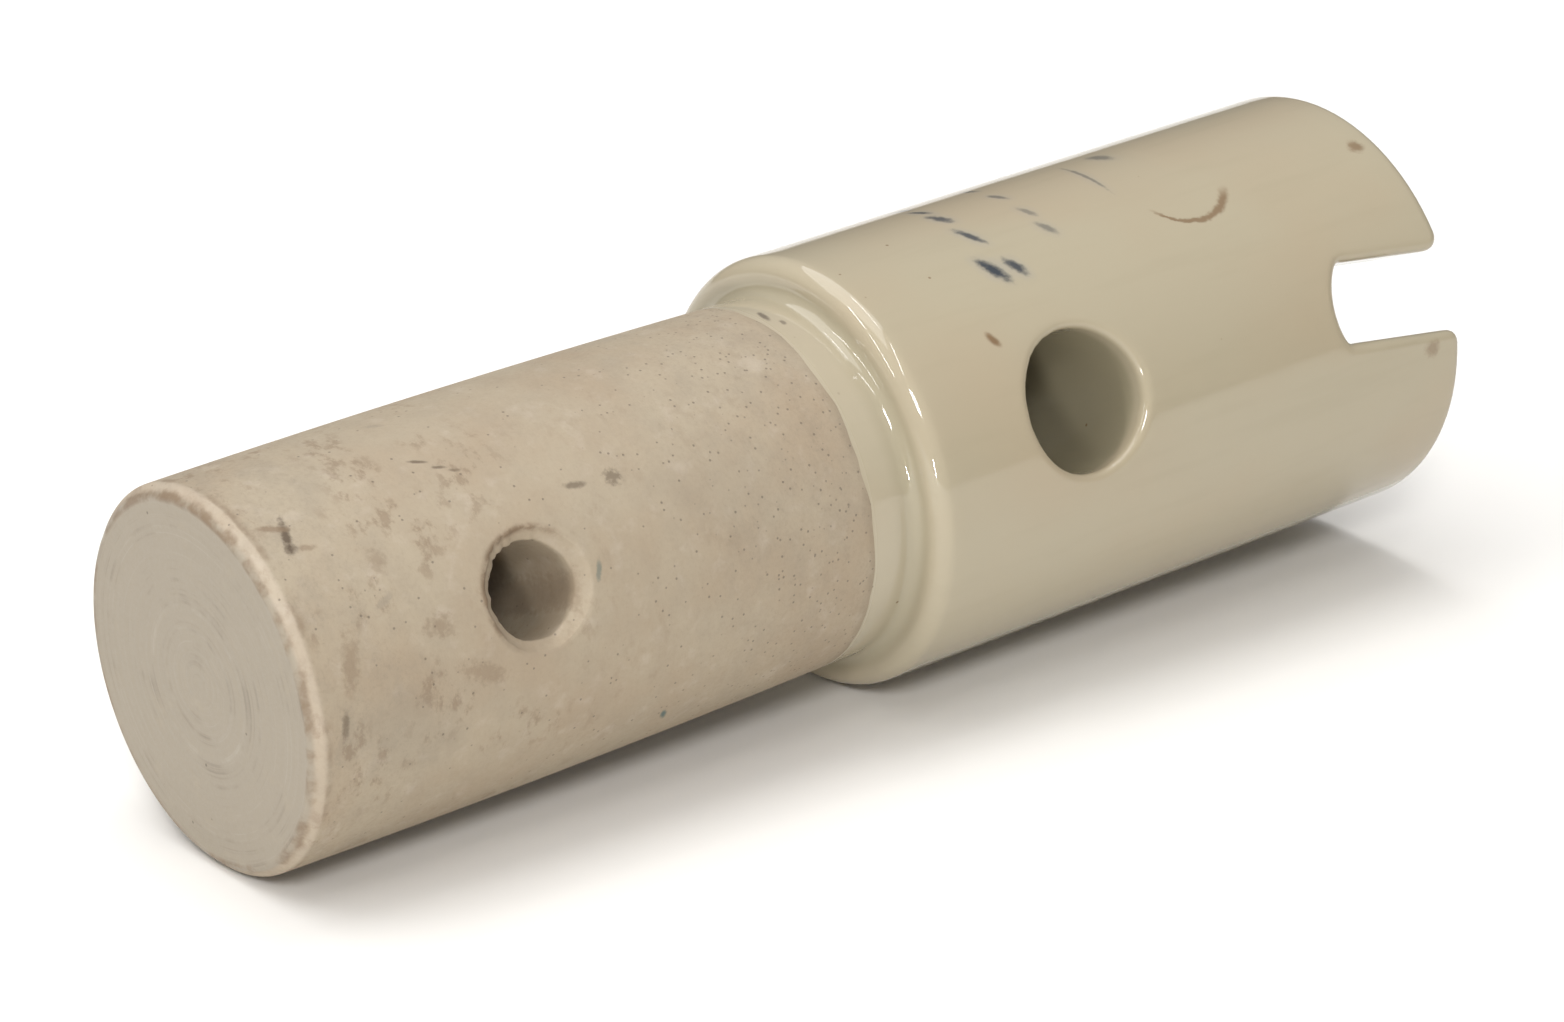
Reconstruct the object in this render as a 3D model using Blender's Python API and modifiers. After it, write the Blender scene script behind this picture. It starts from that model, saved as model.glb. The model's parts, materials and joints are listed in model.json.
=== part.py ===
"""Porcelain insulator: one turned porcelain body, bare on its spigot, with a glaze coat over the wide end.

The body lies along +X, spigot end at -X. Two cross holes and the end slot look the same way, which is
rolled up from -Y about the X axis. The barrel's lowest line touches z = 0. Lengths are in metres.
"""
import math

import bmesh
import bpy
from mathutils import Matrix, Vector

# Turned outline: the spigot stands a shoulder's height inside the barrel, with a flare and a belly of its own
SPIGOT_LENGTH = 0.0639
BARREL_LENGTH = 0.0642
BARREL_RADIUS = 0.0200
SHOULDER_HEIGHT = 0.0033
SPIGOT_FLARE = 0.0004
SPIGOT_BELLY = 0.00055
SPIGOT_ROOT_RADIUS = BARREL_RADIUS - SHOULDER_HEIGHT
SPIGOT_MID_RADIUS = SPIGOT_ROOT_RADIUS + SPIGOT_BELLY
SPIGOT_END_RADIUS = SPIGOT_ROOT_RADIUS + SPIGOT_FLARE
END_CHAMFER = 0.0010
ROOT_FILLET = 0.0013
SHOULDER_ROUND = 0.0018
RIM_ROUND = 0.0013

# Blind socket in the barrel's end
SOCKET_RADIUS = 0.0110
SOCKET_DEPTH = 0.0300
SOCKET_MOUTH_CHAMFER = 0.0010

# Glaze: the coat sits in a shallow rebate, so its outside is flush with the bare spigot
GLAZE_BAND = 0.0053
GLAZE_THICKNESS = 0.0005
GLAZE_GAP = 0.0003

# Cross holes, stations measured from the spigot's end face
SPIGOT_HOLE_DIAMETER = 0.0084
SPIGOT_HOLE_STATION = 0.0237
COUNTERSINK_WIDTH = 0.0011
BARREL_HOLE_DIAMETER = 0.0130
BARREL_HOLE_STATION = 0.0826

# End slot, sawn through both walls and leaning a little off the axis
SLOT_WIDTH = 0.0075
SLOT_DEPTH = 0.0146
SLOT_FLOOR_RADIUS = 0.0057
SLOT_HORN_ROUND = 0.0015
SLOT_LEAN = math.radians(8.5)
SLOT_PIVOT_DEPTH = 0.0100

# How far the holes and the slot are rolled up from -Y about the X axis
ROLL = math.radians(22.3)

# Facets
TURN_STEPS = 64
ARC_STEPS = 4
SPIGOT_STEPS = 4
HOLE_SIDES = 32
CUTTER_OVERRUN = 0.0040

LENGTH = SPIGOT_LENGTH + BARREL_LENGTH
GLAZE_LINE = SPIGOT_LENGTH - GLAZE_BAND
LIE = Matrix.Translation((-LENGTH / 2, 0.0, BARREL_RADIUS)) @ Matrix.Rotation(math.pi / 2, 4, "Y")
ACROSS = Matrix.Rotation(math.pi / 2 - ROLL, 4, "X")


def clear_scene():
    for old in list(bpy.data.objects):
        bpy.data.objects.remove(old, do_unlink=True)


def new_collection(name):
    collection = bpy.data.collections.new(name)
    bpy.context.scene.collection.children.link(collection)
    return collection


def new_material(name, colour, roughness):
    material = bpy.data.materials.new(name)
    material.use_nodes = True
    shader = material.node_tree.nodes["Principled BSDF"]
    shader.inputs["Base Color"].default_value = (*colour, 1.0)
    shader.inputs["Roughness"].default_value = roughness
    shader.inputs["Metallic"].default_value = 0.0
    return material


def arc(centre_z, centre_r, radius, start, end, steps=ARC_STEPS):
    """Points (r, z) on an arc; the angle is 0 towards +r and 90 degrees towards +z."""
    points = []
    for i in range(steps + 1):
        angle = math.radians(start + (end - start) * i / steps)
        points.append((centre_r + radius * math.cos(angle), centre_z + radius * math.sin(angle)))
    return points


def spigot_radius(z):
    """The spigot's radius at station z: a slight belly between its end and its root."""
    t = z / SPIGOT_LENGTH
    straight = SPIGOT_END_RADIUS * (1 - t) + SPIGOT_ROOT_RADIUS * t
    belly = SPIGOT_MID_RADIUS - (SPIGOT_END_RADIUS + SPIGOT_ROOT_RADIUS) / 2
    return straight + 4 * belly * t * (1 - t)


def shoulder_radii():
    """The root fillet and the shoulder's rounding, kept inside the step between spigot and barrel."""
    return min(ROOT_FILLET, 0.40 * SHOULDER_HEIGHT), min(SHOULDER_ROUND, 0.55 * SHOULDER_HEIGHT)


def glazed_outline(inset, start_z):
    """The wide end's outline (r, z) from the socket mouth down to the glaze line, moved in by inset."""
    fillet, rounding = shoulder_radii()
    mouth = SOCKET_RADIUS + SOCKET_MOUTH_CHAMFER
    points = [(mouth, LENGTH - inset)]
    rim = RIM_ROUND
    points += arc(LENGTH - rim, BARREL_RADIUS - rim, rim - inset, 90, 0)
    points += arc(SPIGOT_LENGTH + rounding, BARREL_RADIUS - rounding, rounding - inset, 0, -90)
    root = spigot_radius(SPIGOT_LENGTH - fillet)
    points += arc(SPIGOT_LENGTH - fillet, root + fillet, fillet + inset, 90, 180)[1:]
    points.append((spigot_radius(start_z) - inset, start_z))
    return points


def turned(name, outline, closed, steps, collection):
    """A solid turned about the object's Z axis from (r, z) points that run down its outer side."""
    mesh = bpy.data.meshes.new(name)
    bm = bmesh.new()
    verts = [bm.verts.new((r, 0.0, z)) for r, z in outline]
    for first, second in zip(verts, verts[1:]):
        bm.edges.new((first, second))
    if closed:
        bm.edges.new((verts[-1], verts[0]))
    bm.to_mesh(mesh)
    bm.free()
    part = bpy.data.objects.new(name, mesh)
    collection.objects.link(part)
    screw = part.modifiers.new("Turn", "SCREW")
    screw.steps = steps
    screw.render_steps = steps
    screw.use_merge_vertices = True
    screw.merge_threshold = 0.00001
    return part


def make_cutter(part):
    part.hide_render = True
    part.display_type = "WIRE"
    return part


def cross_point(station):
    """The transform of a tool whose Z axis lies along the hole line, at a station on the axis."""
    return Matrix.Translation((station - LENGTH / 2, 0.0, BARREL_RADIUS)) @ ACROSS


def hole_cutter(name, diameter, station, surface, sink, collection):
    """A drill across the axis, flared at 45 degrees from a depth of sink below the surface at both ends."""
    bore = diameter / 2
    flare = surface - sink
    top = surface + CUTTER_OVERRUN
    mouth = bore + (top - flare if sink else 0.0)
    half = [(0.0, top), (mouth, top), (bore, flare)] if sink else [(0.0, top), (bore, top)]
    outline = half + [(r, -z) for r, z in reversed(half)]
    cutter = turned(name, outline, False, HOLE_SIDES, collection)
    cutter.matrix_world = cross_point(station)
    return make_cutter(cutter)


def slot_outline():
    """The slot seen along the holes: x runs out of the end face, with a curved floor and flared corners."""
    half = SLOT_WIDTH / 2
    rise = SLOT_FLOOR_RADIUS - math.sqrt(SLOT_FLOOR_RADIUS ** 2 - half ** 2)
    sweep = math.asin(half / SLOT_FLOOR_RADIUS)
    floor = []
    for i in range(2 * ARC_STEPS + 1):
        angle = -sweep + 2 * sweep * i / (2 * ARC_STEPS)
        lift = SLOT_FLOOR_RADIUS * (1 - math.cos(angle))
        floor.append((-SLOT_DEPTH + lift, SLOT_FLOOR_RADIUS * math.sin(angle)))
    floor[0] = (-SLOT_DEPTH + rise, -half)
    floor[-1] = (-SLOT_DEPTH + rise, half)
    corner = []
    for i in range(ARC_STEPS + 1):
        angle = math.pi / 2 * i / ARC_STEPS
        out = SLOT_HORN_ROUND * (1 - math.cos(angle))
        corner.append((-SLOT_HORN_ROUND + SLOT_HORN_ROUND * math.sin(angle), half + out))
    corner.append((CUTTER_OVERRUN, half + SLOT_HORN_ROUND))
    mirrored = [(x, -y) for x, y in reversed(corner)]
    lean = Matrix.Rotation(-SLOT_LEAN, 3, "Z")
    pivot = Vector((-SLOT_PIVOT_DEPTH, 0.0, 0.0))
    return [lean @ (Vector((x, y, 0.0)) - pivot) + pivot for x, y in floor + corner + mirrored]


def slot_cutter(name, collection):
    curve = bpy.data.curves.new(name, "CURVE")
    curve.dimensions = "2D"
    curve.fill_mode = "BOTH"
    curve.extrude = BARREL_RADIUS + CUTTER_OVERRUN
    outline = slot_outline()
    spline = curve.splines.new("POLY")
    spline.points.add(len(outline) - 1)
    for point, place in zip(spline.points, outline):
        point.co = (place.x, place.y, 0.0, 1.0)
    spline.use_cyclic_u = True
    drawn = bpy.data.objects.new(name + "_outline", curve)
    collection.objects.link(drawn)
    drawn.matrix_world = cross_point(LENGTH)
    bpy.context.view_layer.update()
    evaluated = drawn.evaluated_get(bpy.context.evaluated_depsgraph_get())
    mesh = bpy.data.meshes.new_from_object(evaluated)
    cutter = bpy.data.objects.new(name, mesh)
    cutter.matrix_world = drawn.matrix_world
    collection.objects.link(cutter)
    bpy.data.objects.remove(drawn, do_unlink=True)
    bm = bmesh.new()
    bm.from_mesh(mesh)
    bmesh.ops.remove_doubles(bm, verts=bm.verts, dist=0.000001)
    bmesh.ops.recalc_face_normals(bm, faces=bm.faces)
    bm.to_mesh(mesh)
    bm.free()
    return make_cutter(cutter)


def cut(part, cutters):
    for cutter in cutters:
        boolean = part.modifiers.new(cutter.name, "BOOLEAN")
        boolean.operation = "DIFFERENCE"
        boolean.solver = "EXACT"
        boolean.object = cutter


def finish(part, material):
    part.data.materials.append(material)
    part.data.shade_smooth()
    part.data.set_sharp_from_angle(angle=math.radians(30))


def porcelain_body(collection, cutters):
    """The fired porcelain: spigot, shoulder, barrel and blind socket, rebated where the glaze lies."""
    rebate = GLAZE_THICKNESS + GLAZE_GAP
    floor_z = LENGTH - SOCKET_DEPTH
    chamfer = SOCKET_MOUTH_CHAMFER
    outline = [(0.0, floor_z), (SOCKET_RADIUS, floor_z), (SOCKET_RADIUS, LENGTH - rebate - chamfer)]
    outline += glazed_outline(rebate, GLAZE_LINE)
    for i in range(SPIGOT_STEPS + 1):
        z = GLAZE_LINE + (END_CHAMFER - GLAZE_LINE) * i / SPIGOT_STEPS
        outline.append((spigot_radius(z), z))
    outline += [(SPIGOT_END_RADIUS - END_CHAMFER, 0.0), (0.0, 0.0)]
    body = turned("porcelain_body", outline, False, TURN_STEPS, collection)
    body.matrix_world = LIE
    cut(body, cutters)
    finish(body, new_material("bare_porcelain", (0.50, 0.41, 0.30), 0.8))


def glaze_coat(collection, cutters):
    """The glassy coat: a thin closed shell from the glaze line over the shoulder, the barrel and its end."""
    start = GLAZE_LINE + GLAZE_GAP
    outer = glazed_outline(0.0, start)
    inner = glazed_outline(GLAZE_THICKNESS, start)
    coat = turned("glaze_coat", outer + list(reversed(inner)), True, TURN_STEPS, collection)
    coat.matrix_world = LIE
    cut(coat, cutters)
    finish(coat, new_material("clear_glaze", (0.53, 0.43, 0.30), 0.12))


def main():
    clear_scene()
    parts = new_collection("porcelain_insulator")
    tools = new_collection("cutters")
    spigot_hole = hole_cutter(
        "cut_spigot_hole", SPIGOT_HOLE_DIAMETER, SPIGOT_HOLE_STATION,
        spigot_radius(SPIGOT_HOLE_STATION), COUNTERSINK_WIDTH, tools)
    barrel_hole = hole_cutter(
        "cut_barrel_hole", BARREL_HOLE_DIAMETER, BARREL_HOLE_STATION, BARREL_RADIUS, 0.0, tools)
    slot = slot_cutter("cut_end_slot", tools)
    porcelain_body(parts, [spigot_hole, barrel_hole, slot])
    glaze_coat(parts, [barrel_hole, slot])


main()
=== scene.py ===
"""Porcelain insulator: the turned and fired body, its glaze coat, and a plain studio stage."""
import json
import math

import bmesh
import bpy
from bpy.props import FloatProperty, FloatVectorProperty, IntProperty, PointerProperty
from mathutils import Matrix, Vector, noise


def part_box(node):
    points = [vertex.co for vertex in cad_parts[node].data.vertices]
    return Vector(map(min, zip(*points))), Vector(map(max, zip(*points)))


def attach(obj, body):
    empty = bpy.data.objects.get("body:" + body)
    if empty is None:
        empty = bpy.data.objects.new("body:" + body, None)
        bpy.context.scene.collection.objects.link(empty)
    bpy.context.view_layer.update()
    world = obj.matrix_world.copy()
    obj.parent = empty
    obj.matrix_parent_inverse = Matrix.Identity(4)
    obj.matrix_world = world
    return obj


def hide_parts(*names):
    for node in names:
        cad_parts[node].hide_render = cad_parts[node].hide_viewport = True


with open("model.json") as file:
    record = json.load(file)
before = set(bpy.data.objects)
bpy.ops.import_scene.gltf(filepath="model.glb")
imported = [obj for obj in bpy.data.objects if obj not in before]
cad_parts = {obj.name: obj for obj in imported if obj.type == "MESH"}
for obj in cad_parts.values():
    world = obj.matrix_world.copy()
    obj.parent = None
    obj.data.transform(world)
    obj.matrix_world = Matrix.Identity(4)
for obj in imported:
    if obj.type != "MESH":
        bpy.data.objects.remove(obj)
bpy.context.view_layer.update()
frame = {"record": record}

bl_info = {
    "name": "Porcelain Insulator",
    "version": (1, 0, 0),
    "blender": (4, 5, 0),
    "location": "3D View > Sidebar > Insulator",
    "description": "Builds a turned porcelain insulator with a bare spigot and a glazed barrel",
    "category": "Add Mesh",
}

MM = 0.001
BODY_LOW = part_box("porcelain_body")[0]
COAT_LOW, COAT_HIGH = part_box("glaze_coat")
START = BODY_LOW.x
LENGTH = COAT_HIGH.x - BODY_LOW.x
BARREL_RADIUS = (COAT_HIGH.z - COAT_LOW.z) / 2
AXIS_HEIGHT = COAT_LOW.z + BARREL_RADIUS
GLAZE_LINE = COAT_LOW.x - BODY_LOW.x
BARE, GLAZED = 0, 1

# Lengths of the skin's faces, and where rings begin and end.
SKIN_STEP = 1.05 * MM
FINE_STEP = 0.4 * MM
END_FACE = 0.04 * MM
CENTRE_RADIUS = 0.5 * MM
SLOT_REACH = 22.0 * MM
SOCKET_FILLET = 2.0 * MM


def opening_station(name):
    """How far from the spigot's end the middle of one of the frame's stated openings lies."""
    for opening in frame["record"]["physics"]["openings"]:
        if opening["name"] == name:
            low, high = opening["box_m"]
            return (low[0] + high[0]) / 2 - START
    raise RuntimeError("the frame states no opening named " + name)


SPIGOT_HOLE_STATION = opening_station("spigot_hole_front_mouth")
BARREL_HOLE_STATION = opening_station("barrel_hole_front_mouth")


def srgb(value):
    """A linear colour from an sRGB hex string."""
    parts = [int(value[i:i + 2], 16) / 255 for i in (1, 3, 5)]
    return [c / 12.92 if c <= 0.04045 else ((c + 0.055) / 1.055) ** 2.4 for c in parts]


def size(name, description, millimetres):
    return FloatProperty(name=name, description=description, default=millimetres * MM,
                         unit="LENGTH", precision=5)


def angle(name, description, degrees):
    return FloatProperty(name=name, description=description, default=math.radians(degrees), subtype="ANGLE")


def colour(name, description, value):
    return FloatVectorProperty(name=name, description=description, default=srgb(value),
                               subtype="COLOR", size=3)


class InsulatorSizes(bpy.types.PropertyGroup):
    """Sizes of the turned body, its holes and its slot."""
    spigot_length: size("Spigot length", "End face to shoulder", 63.9)
    spigot_end_radius: size("Spigot end radius", "Spigot radius at its free end", 17.1)
    spigot_mid_radius: size("Spigot belly radius", "Spigot radius halfway", 17.25)
    spigot_root_radius: size("Spigot root radius", "Spigot radius at the shoulder", 16.7)
    end_chamfer: size("End chamfer", "Worn chamfer round the free end", 1.0)
    root_fillet: size("Root fillet", "Hollow where the spigot meets the shoulder", 1.3)
    shoulder_round: size("Shoulder round", "Rounded edge of the shoulder", 1.8)
    rim_round: size("Rim round", "Rounded rim and slot edges", 1.2)
    roll: angle("Roll", "How far the holes look up from level", 22.3)
    spigot_hole_radius: size("Spigot hole radius", "Bore of the spigot's cross hole", 4.2)
    countersink: size("Countersink", "Width of the spigot hole's countersink", 1.05)
    spigot_hole_chips: size("Spigot hole chips", "How far the spigot hole's edge is chipped", 0.22)
    barrel_hole_radius: size("Barrel hole radius", "Bore of the barrel's cross hole", 6.5)
    barrel_hole_lip: size("Barrel hole lip", "Rounding of the barrel hole's glazed lip", 1.1)
    barrel_hole_chips: size("Barrel hole waver", "How far the barrel hole's edge wavers", 0.05)
    socket_radius: size("Socket radius", "Blind bore in the barrel's end", 11.0)
    socket_depth: size("Socket depth", "Depth of the blind bore", 30.0)
    socket_edge: size("Socket edge", "Softened edge of the socket's mouth", 0.8)
    slot_width: size("Slot width", "Width of the end slot", 7.5)
    slot_depth: size("Slot depth", "Depth of the end slot", 14.6)
    slot_floor_radius: size("Slot floor radius", "Curve of the slot's floor", 5.7)
    slot_corner: size("Slot corner", "Corner radius where the floor meets a side", 1.0)
    slot_horn_round: size("Horn round", "Corner radius of the slot's two horns", 1.5)
    slot_lean: angle("Slot lean", "How far the slot leans off the axis", 8.5)
    slot_pivot: size("Slot pivot", "Depth at which the slot crosses the hole line", 10.0)
    glaze_depth: size("Glaze depth", "Thickness of the fired glaze", 0.25)
    glaze_wander: size("Glaze wander", "How far the brushed glaze line wanders", 0.22)
    facets: IntProperty(name="Facets", description="Facets round the axis", default=264, min=96, step=4)


class InsulatorColours(bpy.types.PropertyGroup):
    """Colours of the bare porcelain, of the glaze, and of their marks."""
    bare: colour("Bare porcelain", "Dry fired porcelain", "#A1947F")
    bare_warm: colour("Warm patches", "Iron-warmed patches in the bare porcelain", "#9C8C76")
    bare_grey: colour("Handling grey", "Grey rubbed into the bare surface", "#857B6C")
    bare_pale: colour("Pale patches", "Paler, drier patches in the bare porcelain", "#BCAFA0")
    end_face: colour("End face", "Turned end, greyer and smoother", "#958B7B")
    # Painted glints: the pale streaks on the end face stand in for its small highlights.
    painted_end_glints: colour("End scratches", "Pale scratches round the end face", "#BFB8AD")
    wear: colour("Worn edge", "Brown dirt on the worn chamfer", "#7A6752")
    speck: colour("Pin specks", "Iron specks in the porcelain", "#5A4F44")
    soot: colour("Dark stains", "Dark rubbed stains", "#4A3B2C")
    copper: colour("Copper mark", "Blue-green mark of a copper wire", "#4C5E5A")
    glaze: colour("Glaze", "Cream glaze over porcelain", "#A49A83")
    # Pooled glaze colour, which is also painted as shade inside the holes, the slot and the socket.
    glaze_pool_and_shade: colour("Pooled glaze", "Greener glaze where it lies thick", "#8F876F")
    glaze_warm: colour("Warm glaze", "Slightly browner drifts in the glaze", "#A4977F")
    glaze_border: colour("Glaze border", "Thin dry glaze beside the bare porcelain", "#B6AC99")
    ink: colour("Underglaze ink", "Blue-black underglaze strokes", "#2C333C")
    ink_halo: colour("Ink halo", "Blue bleed round the underglaze strokes", "#6F7C8E")
    rust: colour("Iron flaw", "Brown iron flaw in the glaze", "#6E5337")
    floor: colour("Floor", "Plain pale floor", "#EDEBE7")
    sky_low: colour("Low light", "Studio light from level", "#959390")
    sky_high: colour("High light", "Studio light from overhead", "#F3F3F6")


def sizes():
    return bpy.context.scene.insulator_sizes


def colours():
    return bpy.context.scene.insulator_colours


# --- Places on the turned body ---


def hole_line():
    """Unit vectors along the cross holes, outwards at their front mouths, and across them."""
    roll = sizes().roll
    out = Vector((0.0, -math.cos(roll), math.sin(roll)))
    across = Vector((0.0, -math.sin(roll), -math.cos(roll)))
    return out, across


def turned_place(station, turn, radius):
    """The place at a station along the axis, at a turn from the hole line and a radius out."""
    out, across = hole_line()
    centre = Vector((START + station, 0.0, AXIS_HEIGHT))
    return centre + (out * math.cos(turn) + across * math.sin(turn)) * radius


def straight_place(station, across, depth):
    """The place at a station, a distance across the hole line and a distance along it from the axis."""
    out, aside = hole_line()
    return Vector((START + station, 0.0, AXIS_HEIGHT)) + aside * across + out * depth


def spigot_radius(station):
    """The spigot's radius at a station: a slight belly between its end and its root."""
    s = sizes()
    t = station / s.spigot_length
    belly = s.spigot_mid_radius - (s.spigot_end_radius + s.spigot_root_radius) / 2
    return s.spigot_end_radius * (1 - t) + s.spigot_root_radius * t + 4 * belly * t * (1 - t)


def skin_radius(station):
    return spigot_radius(station) if station < sizes().spigot_length else BARREL_RADIUS


def spaced(first, last, step):
    """Even steps of about one size from first to last, first left out."""
    count = max(1, round(abs(last - first) / step))
    return [first + (last - first) * i / count for i in range(1, count + 1)]


def arc(station, radius, size, start, end, steps):
    """(station, radius) on an arc; the angle is 0 straight out and 90 degrees towards the socket."""
    points = []
    for i in range(1, steps + 1):
        turn = math.radians(start + (end - start) * i / steps)
        points.append((station + size * math.sin(turn), radius + size * math.cos(turn)))
    return points


def ring_turn(index):
    return 2 * math.pi * index / sizes().facets


def wander(turn):
    """How far the glaze line strays along the axis at a turn."""
    point = Vector((math.cos(turn) * 2.6, math.sin(turn) * 2.6, 4.0))
    return sizes().glaze_wander * (noise.noise(point) + 0.5 * noise.noise(point * 3.1)) * 1.4


# --- Growing the skin ring by ring ---


def ring_edges(bm, ring):
    return [bm.edges.get(pair) for pair in zip(ring, ring[1:] + ring[:1])]


def grow(bm, ring, places, zone=BARE):
    """Extrudes a closed ring of vertices, moves the new ring to its places and marks the new faces."""
    layer = bm.faces.layers.int["zone"]
    made = bmesh.ops.extrude_edge_only(bm, edges=ring_edges(bm, ring))["geom"]
    fresh = {item for item in made if isinstance(item, bmesh.types.BMVert)}
    for item in made:
        if isinstance(item, bmesh.types.BMFace):
            item[layer] = zone
    grown = []
    for vert, place in zip(ring, places):
        partner = next(e.other_vert(vert) for e in vert.link_edges if e.other_vert(vert) in fresh)
        partner.co = place
        grown.append(partner)
    return grown


def close(bm, ring, zone=BARE):
    layer = bm.faces.layers.int["zone"]
    for face in bmesh.ops.edgeloop_fill(bm, edges=ring_edges(bm, ring))["faces"]:
        face[layer] = zone


def plain_places(station, radius):
    return [turned_place(station, ring_turn(i), radius) for i in range(sizes().facets)]


def curled(start, corner, end, t):
    """A point on the curl that rounds the corner between start and end."""
    return start * (1 - t) ** 2 + corner * (2 * t * (1 - t)) + end * t ** 2


# --- The spigot's end and the outside ---


def lathe_mark(radius):
    """Height of the turning marks on the end face, which fade towards its rim."""
    fade = 1.0 - 0.6 * radius / sizes().spigot_end_radius
    return fade * (0.022 * math.sin(radius / (0.14 * MM)) + 0.016 * math.sin(radius / (0.33 * MM) + 1.0)) * MM


def end_face_outline():
    """The end face from its middle to the worn chamfer, then the chamfer with both edges worn round."""
    s = sizes()
    rim = s.spigot_end_radius - s.end_chamfer
    worn = 0.7 * MM
    radii = spaced(CENTRE_RADIUS, rim - worn * 0.6, 0.27 * MM)
    points = [(END_FACE + lathe_mark(radius), radius) for radius in radii]
    points += arc(worn, rim - worn * 0.4, worn, -90, -45, 5)
    points += arc(s.end_chamfer + worn * 0.4, spigot_radius(s.end_chamfer) - worn, worn, -45, 0, 5)
    return points


def outside_outline(blocks, last):
    """(station, radius, zone) from behind the chamfer to a last plain ring before the slotted end."""
    s = sizes()
    small, large = blocks
    fillet_start = s.spigot_length - s.root_fillet
    round_centre = s.spigot_length + s.shoulder_round
    bare = spaced(s.end_chamfer * 1.5, small["first"], SKIN_STEP)
    bare += spaced(small["first"], small["last"], (small["last"] - small["first"]) / small["cells"])
    bare += spaced(small["last"], GLAZE_LINE, SKIN_STEP)
    points = [(x, spigot_radius(x), BARE) for x in bare]
    glazed = [(x, spigot_radius(x)) for x in spaced(GLAZE_LINE, fillet_start, FINE_STEP)]
    glazed += arc(fillet_start, spigot_radius(fillet_start) + s.root_fillet, s.root_fillet, 180, 90, 9)
    glazed += arc(round_centre, BARREL_RADIUS - s.shoulder_round, s.shoulder_round, -90, 0, 12)
    barrel = spaced(round_centre, large["first"], SKIN_STEP)
    barrel += spaced(large["first"], large["last"], (large["last"] - large["first"]) / large["cells"])
    barrel += spaced(large["last"], last, SKIN_STEP)
    glazed += [(x, BARREL_RADIUS) for x in barrel]
    return points + [(x, r, GLAZED) for x, r in glazed]


def hole_block(station, radius, reach):
    """The even patch of the skin round a hole: its stations and its cells each way."""
    half = reach * 1.33
    step = 2 * math.pi / sizes().facets
    cells = 2 * round(math.asin(half / radius) / step)
    return {"station": station, "first": station - half, "last": station + half, "cells": cells}


def patch_loop(rings, block, back):
    """The vertices round a hole's patch, in order from one corner, and the faces' columns inside it."""
    facets = sizes().facets
    middle = facets // 2 if back else 0
    half = block["cells"] // 2
    rows = [ring for station, ring in rings if block["first"] - 1e-7 <= station <= block["last"] + 1e-7]
    columns = [(middle + c) % facets for c in range(-half, half + 1)]
    loop = [rows[0][c] for c in columns[:-1]]
    loop += [row[columns[-1]] for row in rows[:-1]]
    loop += [rows[-1][c] for c in reversed(columns[1:])]
    loop += [row[columns[0]] for row in reversed(rows[1:])]
    inside = {row[c] for row in rows for c in columns}
    return loop, inside


def chip(turn, side):
    """How ragged a hole's edge is at a turn, from about -1 to 1, with most of it on its upper side."""
    point = Vector((math.cos(turn) * 3.2, math.sin(turn) * 3.2, side * 9.0))
    upper = 0.35 + 0.65 * max(0.0, -math.sin(turn + math.pi / 4))
    return upper * (noise.noise(point) + 0.7 * noise.noise(point * 2.7))


def round_hole(bm, rings, block, back, bore, lip, worn, zone):
    """Opens one mouth of a cross hole in the skin and curls its edge in; gives the ring inside the wall."""
    loop, inside = patch_loop(rings, block, back)
    faces = {f for v in inside for f in v.link_faces if all(w in inside for w in f.verts)}
    bmesh.ops.delete(bm, geom=list(faces), context="FACES")
    side = -1.0 if back else 1.0
    out, aside = hole_line()
    origin = Vector((START, 0.0, AXIS_HEIGHT))
    flat = [((v.co - origin).x, (v.co - origin).dot(aside)) for v in loop]
    count = len(loop)
    first = math.atan2(flat[0][1], flat[0][0] - block["station"])
    way = 1 if back else -1
    turns = [first + way * 2 * math.pi * i / count for i in range(count)]

    def on_skin(station, across):
        depth = math.sqrt(skin_radius(station) ** 2 - across ** 2)
        return straight_place(station, across, side * depth)

    def around(radius):
        places = []
        for turn in turns:
            reach = radius + chip(turn, side) * worn
            places.append((block["station"] + reach * math.cos(turn), reach * math.sin(turn)))
        return places

    outer = around(bore + lip)
    ring = loop
    for i in range(1, 7):
        share = i / 6
        ring = grow(bm, ring, [on_skin(a[0] + (b[0] - a[0]) * share, a[1] + (b[1] - a[1]) * share)
                               for a, b in zip(flat, outer)], zone)
    edge = [on_skin(*point) for point in around(bore)]
    return ring, [on_skin(*point) for point in outer], edge, out * side


# --- The slotted end ---


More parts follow.
